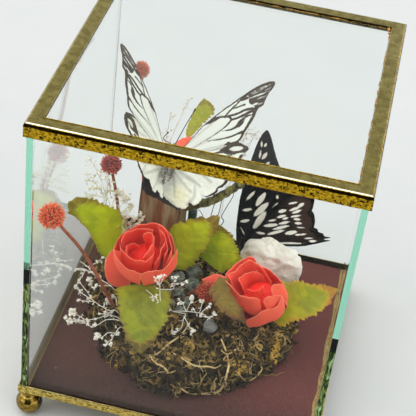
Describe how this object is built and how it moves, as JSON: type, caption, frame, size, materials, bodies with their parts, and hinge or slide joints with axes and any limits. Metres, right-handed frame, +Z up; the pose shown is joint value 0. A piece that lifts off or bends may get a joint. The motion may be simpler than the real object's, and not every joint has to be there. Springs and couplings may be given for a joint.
{
  "type": "butterfly in glass box",
  "caption": "Brass-edged glass display case on ball feet holding mounted butterflies, roses, leaves and dried sprays on a moss mound.",
  "frame": {"origin": "centre of the case's footprint, on the surface that the ball feet stand on", "axes": "+Z up, front of the case faces -Y, +X to the right seen from the front"},
  "size_m": [0.1302, 0.1302, 0.1513],
  "materials": {
    "brass": "aged satin, mottled",
    "glass": "clear, teal edges",
    "maroon_board": "painted, low sheen",
    "dried_moss": "matte, fibrous",
    "driftwood": "weathered",
    "bark": "rough",
    "green_tape": "waxy",
    "white_stone": "matte",
    "gravel": "matte",
    "pale_pebble": "smooth",
    "white_wings": "matte scales",
    "black_wings": "velvety scales",
    "coral_petals": "matte",
    "green_leaf": "satin",
    "globe_flower": "dry, spiky",
    "stem": "dry",
    "white_spray": "dry",
    "cream_spray": "dry",
    "dark_twig": "dry",
    "amber_glue": "glossy, clear"
  },
  "bodies": {
    "root": {"amber_glue_bead": "amber_glue", "ball_foot_back_left": "brass", "ball_foot_back_right": "brass", "ball_foot_front_left": "brass", "ball_foot_front_right": "brass", "bark_perch": "bark", "base_board": "maroon_board", "base_rail_back": "brass", "base_rail_front": "brass", "base_rail_left": "brass", "base_rail_right": "brass", "black_butterfly": "black_wings", "cream_spray_back": "cream_spray", "cream_spray_back_left": "cream_spray", "cream_spray_tall": "cream_spray", "dark_twigs": "dark_twig", "driftwood_post": "driftwood", "glass_back": "glass", "glass_front": "glass", "glass_left": "glass", "glass_right": "glass", "glass_top": "glass", "globe_flower_1": "globe_flower", "globe_flower_2": "globe_flower", "globe_flower_3": "globe_flower", "globe_flower_4": "globe_flower", "globe_stem_1": "stem", "globe_stem_2": "stem", "globe_stem_3": "stem", "globe_stem_4": "stem", "gravel_stone_1": "gravel", "gravel_stone_2": "gravel", "gravel_stone_3": "gravel", "leaf_behind": "green_leaf", "leaf_centre": "green_leaf", "leaf_front_right": "green_leaf", "leaf_lower_left": "green_leaf", "leaf_right": "green_leaf", "leaf_top_back": "green_leaf", "leaf_upper_left": "green_leaf", "moss_mound": "dried_moss", "pale_pebble": "pale_pebble", "perch_stalk": "green_tape", "rose_back": "coral_petals", "rose_back_stem": "stem", "rose_left": "coral_petals", "rose_left_outer_petal": "coral_petals", "rose_right": "coral_petals", "rose_right_outer_petal": "coral_petals", "top_rail_back": "brass", "top_rail_front": "brass", "top_rail_left": "brass", "top_rail_right": "brass", "white_butterfly": "white_wings", "white_spray_centre": "white_spray", "white_spray_left": "white_spray", "white_stone": "white_stone"}
  },
  "joints": []
}
